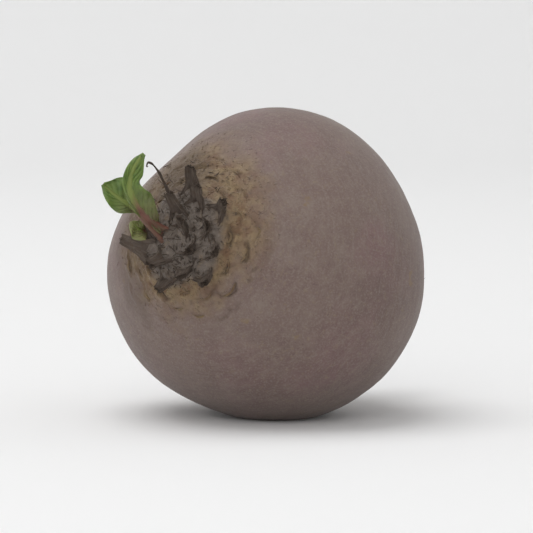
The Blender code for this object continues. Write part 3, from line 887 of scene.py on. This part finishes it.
class BEETROOT_OT_leaves(bpy.types.Operator):
    """Makes the three young leaves"""

    bl_idname = "beetroot.leaves"
    bl_label = "Young leaves"

    def execute(self, context):
        root, crown = context.scene.beetroot_root, context.scene.beetroot_crown
        colours, sizes = context.scene.beetroot_colours, context.scene.beetroot_leaves
        materials = [young_stem(colours), young_blade(colours)]
        # A stem's path is in millimetres from its foot, and a blade's half widths are at shares of its way
        shapes = {
            "young_leaf_left": dict(
                path=((-2.1, 1.2, 3.2), (-5.3, 1.5, 4.7), (-8.6, 5.1, 8.9)),
                stem_width=1.9,
                left=((0.30, 0.3), (0.52, 1.4), (0.64, 2.6), (0.76, 2.5), (0.88, 1.8), (0.96, 0.9), (1, 0.1)),
                right=((0.30, 0.4), (0.45, 2.2), (0.62, 4.0), (0.8, 4.4), (0.91, 3.4), (0.97, 1.8), (1, 0.1)),
                folds=(16, -12),
                rolls=(-0.5, -1.0),
            ),
            "young_leaf_top": dict(
                path=((-2.6, 2.2, 4.8), (-7.1, 7.2, 10.9), (-1.9, 14.8, 8.8)),
                stem_width=2.8,
                left=((0.10, 0.4), (0.35, 0.8), (0.60, 1.3), (0.78, 1.5), (0.90, 1.3), (0.97, 0.8), (1, 0.1)),
                right=(
                    *((0.10, 0.5), (0.24, 2.2), (0.42, 3.7), (0.56, 3.6), (0.66, 2.6), (0.73, 1.6)),
                    *((0.81, 2.3), (0.90, 1.9), (0.97, 0.9), (1, 0.1)),
                ),
                folds=(14, 26),
                rolls=(0.4, -0.9),
            ),
            "young_leaf_small": dict(
                path=((0.4, -1.7, 2.6), (-0.6, 0.7, 4.6)),
                facing=(0.45, 0.15, 0.88),
                stem_width=1.5,
                left=((0.10, 0.5), (0.40, 2.2), (0.75, 2.1), (1, 0.3)),
                right=((0.10, 0.5), (0.40, 2.1), (0.75, 2.0), (1, 0.3)),
                folds=(10, 12),
                rolls=(-0.2, 0.1),
            ),
        }
        for node, shape in shapes.items():
            shell = Shell()
            self.grow(shell, seat(root, crown, LEAF_PLACES[node])[2], sizes, **shape)
            grown_leaf = shell.piece(f"{node}_fresh", materials)
            # Only the small leaf gets the lighter olive: its own tone, and painted light against the shade of
            # the leaves above
            mark(grown_leaf, flush=0.55 if node == "young_leaf_small" else 0.0)
            settle(grown_leaf, "young_leaf", lying(root), node)
        return {"FINISHED"}

    def grow(self, shell, foot, sizes, path, stem_width, left, right, folds, rolls, facing=TOWARDS_LIGHT):
        """The stem with its midrib, and the blade on it, which is a thin closed sheet.

        Each half of the blade has its own folds, in degrees, and rolls, in millimetres at its edge.
        """
        controls = [foot - (0, 0, FOOT_DEPTH)] + [foot + np.array(step) * MM for step in path]
        blade_start = left[0][0]
        sides, rings = 24, 60
        turns = azimuths(sides)
        stem = []
        for at in np.linspace(0, 0.97, rings):
            centre, side, face = self.frame_at(controls, at, facing)
            centre = centre + face * min(1, 2 * at) * 0.22 * MM
            width = stem_width * MM * (1 + 0.4 * bump(at, 0.10)) * (1 - 0.72 * at)
            channel = 0.34 * width * bump(np.cos(turns), 0.42) * (np.sin(turns) > 0)
            channel = channel * max(0.0, 1 - 1.5 * at)
            x, y = np.cos(turns) * width / 2, np.sin(turns) * width * 0.36 - channel
            stem.append(centre + np.outer(x, side) + np.outer(y, face))
        stem = np.array(stem)
        # Ribs of its own, and a waviness that it shares with the blade
        stem = stem + perlin(stem, 0.9, 21)[..., None] * outward(stem) * 0.08 * MM
        stem = stem + perlin(stem, 2.2, 23)[..., None] * np.array(facing) * 0.35 * MM
        shell.add(stem, (stem[0].mean(axis=0), stem[-1].mean(axis=0)))

        rows, columns = 84, 41
        v = np.linspace(0, 1, rows)
        at = blade_start + (1 - blade_start) * v
        across = np.linspace(-1, 1, columns)
        on_right = across > 0
        far = np.abs(across)
        halves = half_width(left, at), half_width(right, at)
        blade = np.zeros((rows, columns, 3))
        for j in range(rows):
            centre, side, face = self.frame_at(controls, min(at[j], 0.999), facing)
            level = across * np.where(on_right, halves[1][j], halves[0][j])
            fold = np.where(on_right, folds[1], folds[0])
            roll = np.where(on_right, rolls[1], rolls[0]) * MM
            roll = roll * math.sin(math.pi * min(1, 0.15 + 0.85 * v[j]))
            lift = np.abs(level) * np.tan(np.radians(fold)) + roll * far**2.5
            waves = np.sin(2 * math.pi * (2.6 * v[j] + 0.37 * on_right) + 2 * far)
            puckers = np.abs(np.sin(math.pi * (8 * v[j] - 3 * far))) * smooth_step(far / 0.2) * (1 - far**6)
            lift = lift + sizes.ruffle * far**2 * waves + sizes.pucker * puckers
            blade[j] = centre + np.outer(level, side) + np.outer(lift, face)
        blade = blade + perlin(blade, 2.2, 23)[..., None] * np.array(facing) * 0.35 * MM
        normal = unit(np.cross(np.gradient(blade, axis=1), np.gradient(blade, axis=0)))
        wall = normal * sizes.thickness / 2 * (1 - 0.8 * far**8)[None, :, None]
        loop = np.concatenate([(blade + wall)[:, ::-1], blade - wall], axis=1)
        shares = (across + 1) / 2
        ends = loop[0].mean(axis=0), loop[-1].mean(axis=0)
        shell.add(loop, ends, slot=1, across=np.concatenate([shares[::-1], shares]))

    def frame_at(self, controls, at, facing):
        """The midrib's point there, and the unit vectors across the blade and out of its upper side."""
        along = bezier(controls, at + 0.01) - bezier(controls, at - 0.01)
        side = np.cross(along, facing)
        side = side / np.linalg.norm(side)
        face = np.cross(side, along)
        return bezier(controls, at), side, face / np.linalg.norm(face)


class BEETROOT_OT_stage(bpy.types.Operator):
    """Makes the pale floor with its sweep, the soft studio light and the camera"""

    bl_idname = "beetroot.stage"
    bl_label = "Stage"

    def execute(self, context):
        stage, root = context.scene.beetroot_stage, context.scene.beetroot_root
        self.floor(context, stage)
        self.lights(context)
        self.camera(context, stage, lying(root).translation)
        context.scene.view_settings.view_transform = "Standard"
        return {"FINISHED"}

    def floor(self, context, stage):
        """A round floor that sweeps up into a wall, so that no edge shows from any side."""
        radius, bend, sides = stage.floor_radius, 0.45 * stage.floor_radius, 96
        bends = np.linspace(0, 1.57, 24)
        sweep = [(radius - bend + bend * math.sin(a), bend - bend * math.cos(a)) for a in bends]
        profile = [(radius * 0.02, 0), (radius * 0.3, 0), *sweep, (radius, 1.3 * radius)]
        turns = azimuths(sides)
        points = [(r * math.cos(a), r * math.sin(a), z) for r, z in profile for a in turns]
        faces = [tuple(range(sides))]
        for j in range(0, (len(profile) - 1) * sides, sides):
            for k in range(sides):
                after = (k + 1) % sides
                faces.append((j + k, j + sides + k, j + sides + after, j + after))
        mesh = bpy.data.meshes.new("floor")
        mesh.from_pydata(points, [], faces)
        mesh.materials.append(matt_floor(context.scene.beetroot_colours))
        mesh.shade_smooth()
        in_scene("floor", mesh)

    def lights(self, context):
        world = bpy.data.worlds.new("Studio")
        context.scene.world = world
        world.use_nodes = True
        sky = world.node_tree.nodes["Background"].inputs
        sky["Color"].default_value, sky["Strength"].default_value = (1, 1, 1, 1), 0.56
        for name, position, side, power in (
            ("overhead_softbox", (-0.35, -0.15, 1.60), 1.4, 13.0),
            ("front_fill", (0.35, -1.0, 0.60), 0.8, 2.0),
        ):
            lamp = bpy.data.lights.new(name, "AREA")
            lamp.shape, lamp.size, lamp.energy = "DISK", side, power
            made = in_scene(name, lamp)
            made.location = position
            made.rotation_euler = (LIT - made.location).to_track_quat("-Z", "Y").to_euler()

    def camera(self, context, stage, middle):
        data = bpy.data.cameras.new("Camera")
        data.lens, data.sensor_width, data.clip_start, data.clip_end = stage.lens, 36, 0.01, 20
        made = in_scene("Camera", data)
        away = Vector(direction(math.pi / 2 - stage.elevation, stage.azimuth - math.pi / 2))
        made.location = middle + away * stage.field * data.lens / data.sensor_width
        made.rotation_euler = (-away).to_track_quat("-Z", "Y").to_euler()
        context.scene.camera = made


class BEETROOT_PT_panel(bpy.types.Panel):
    """Lists the beetroot's sizes and colours, and the operators that make its pieces"""

    bl_idname = "BEETROOT_PT_panel"
    bl_label = "Beetroot"
    bl_space_type = "VIEW_3D"
    bl_region_type = "UI"
    bl_category = "Beetroot"

    def draw(self, context):
        for name, group in GROUPS.items():
            box = self.layout.box()
            for key in group.__annotations__:
                box.prop(getattr(context.scene, name), key)
        for operator in OPERATORS:
            self.layout.operator(operator.bl_idname)


GROUPS = {
    "beetroot_root": RootSizes,
    "beetroot_crown": CrownSizes,
    "beetroot_leaves": LeafSizes,
    "beetroot_stage": StageSizes,
    "beetroot_colours": Colours,
}
OPERATORS = (BEETROOT_OT_root, BEETROOT_OT_stalks, BEETROOT_OT_leaves, BEETROOT_OT_stage)


def register():
    for made in (*GROUPS.values(), *OPERATORS, BEETROOT_PT_panel):
        bpy.utils.register_class(made)
    for name, group in GROUPS.items():
        setattr(bpy.types.Scene, name, bpy.props.PointerProperty(type=group))


def unregister():
    for name in GROUPS:
        delattr(bpy.types.Scene, name)
    for made in (BEETROOT_PT_panel, *reversed(OPERATORS), *GROUPS.values()):
        bpy.utils.unregister_class(made)


def main():
    register()
    bpy.ops.beetroot.root()
    bpy.ops.beetroot.stalks()
    bpy.ops.beetroot.leaves()
    bpy.ops.beetroot.stage()


if __name__ == "__main__":
    main()
